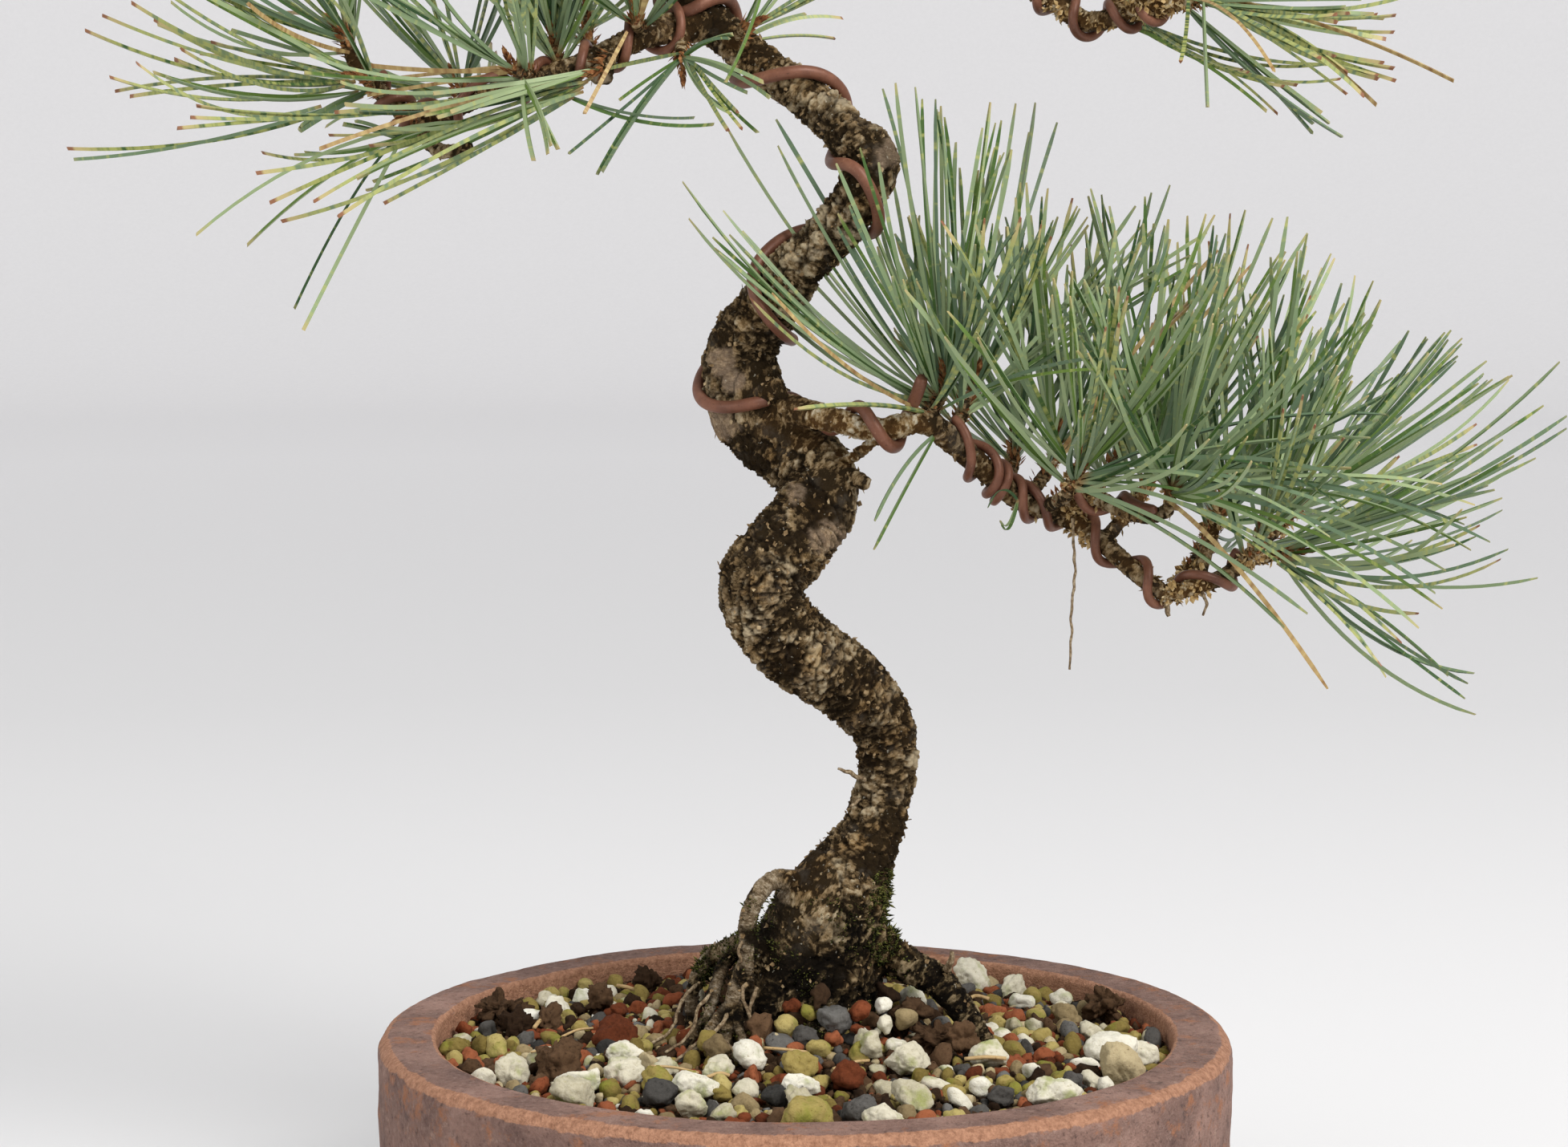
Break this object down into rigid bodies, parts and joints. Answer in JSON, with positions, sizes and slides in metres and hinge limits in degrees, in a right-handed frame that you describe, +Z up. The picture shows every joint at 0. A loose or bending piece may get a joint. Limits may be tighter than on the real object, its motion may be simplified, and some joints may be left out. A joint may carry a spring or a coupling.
{
  "type": "potted bonsai pine",
  "caption": "Trained pine with an S-curved trunk, wired branches and long-needle pads, rooted in gritty soil in a round unglazed stoneware pot.",
  "frame": {"origin": "middle of the pot's flat underside, on the pot's axis", "axes": "+Z up along the pot's axis, -Y towards the viewer of the tree's front, +X to the right of that front"},
  "size_m": [0.3327, 0.1834, 0.4129],
  "materials": {
    "pot": "unglazed stoneware, rough, rubbed orange at the edges",
    "screen": "moulded mesh",
    "wire": "copper-brown anodised, satin",
    "soil": "moist grit mix of lava, fired clay grains and humus",
    "pumice": "pale porous grains, some with green algae",
    "humus": "dark crumbly lumps",
    "bark": "flaky rough bark with transverse wrinkles and pale scars",
    "moss": "short dense moss",
    "needles": "waxy green pine needles with paler sides"
  },
  "bodies": {
    "root": {"pot": "pot", "drain_screen_1": "screen", "drain_screen_2": "screen", "drain_screen_3": "screen", "tie_wire": "wire", "soil": "soil", "pumice_01": "pumice", "pumice_02": "pumice", "pumice_03": "pumice", "pumice_04": "pumice", "pumice_05": "pumice", "pumice_06": "pumice", "pumice_07": "pumice", "pumice_08": "pumice", "pumice_09": "pumice", "humus_01": "humus", "humus_02": "humus", "humus_03": "humus", "tree": "bark", "trunk_wire": "wire", "right_branch_wire": "wire", "middle_twig_wire": "wire", "left_branch_wire": "wire", "upper_branch_wire": "wire", "moss_trunk": "moss", "moss_root": "moss", "needles_right_01": "needles", "needles_right_02": "needles", "needles_right_03": "needles", "needles_right_04": "needles", "needles_right_05": "needles", "needles_right_06": "needles", "needles_right_07": "needles", "needles_right_08": "needles", "needles_right_09": "needles", "needles_right_10": "needles", "needles_right_11": "needles", "needles_right_12": "needles", "needles_right_13": "needles", "needles_left_01": "needles", "needles_left_02": "needles", "needles_left_03": "needles", "needles_left_04": "needles", "needles_left_05": "needles", "needles_left_06": "needles", "needles_left_07": "needles", "needles_left_08": "needles", "needles_left_09": "needles", "needles_left_10": "needles", "needles_left_11": "needles", "needles_upper_01": "needles", "needles_upper_02": "needles", "needles_upper_03": "needles", "needles_upper_04": "needles", "needles_apex_01": "needles", "needles_apex_02": "needles", "needles_apex_03": "needles", "needles_apex_04": "needles", "needles_apex_05": "needles"}
  },
  "joints": []
}
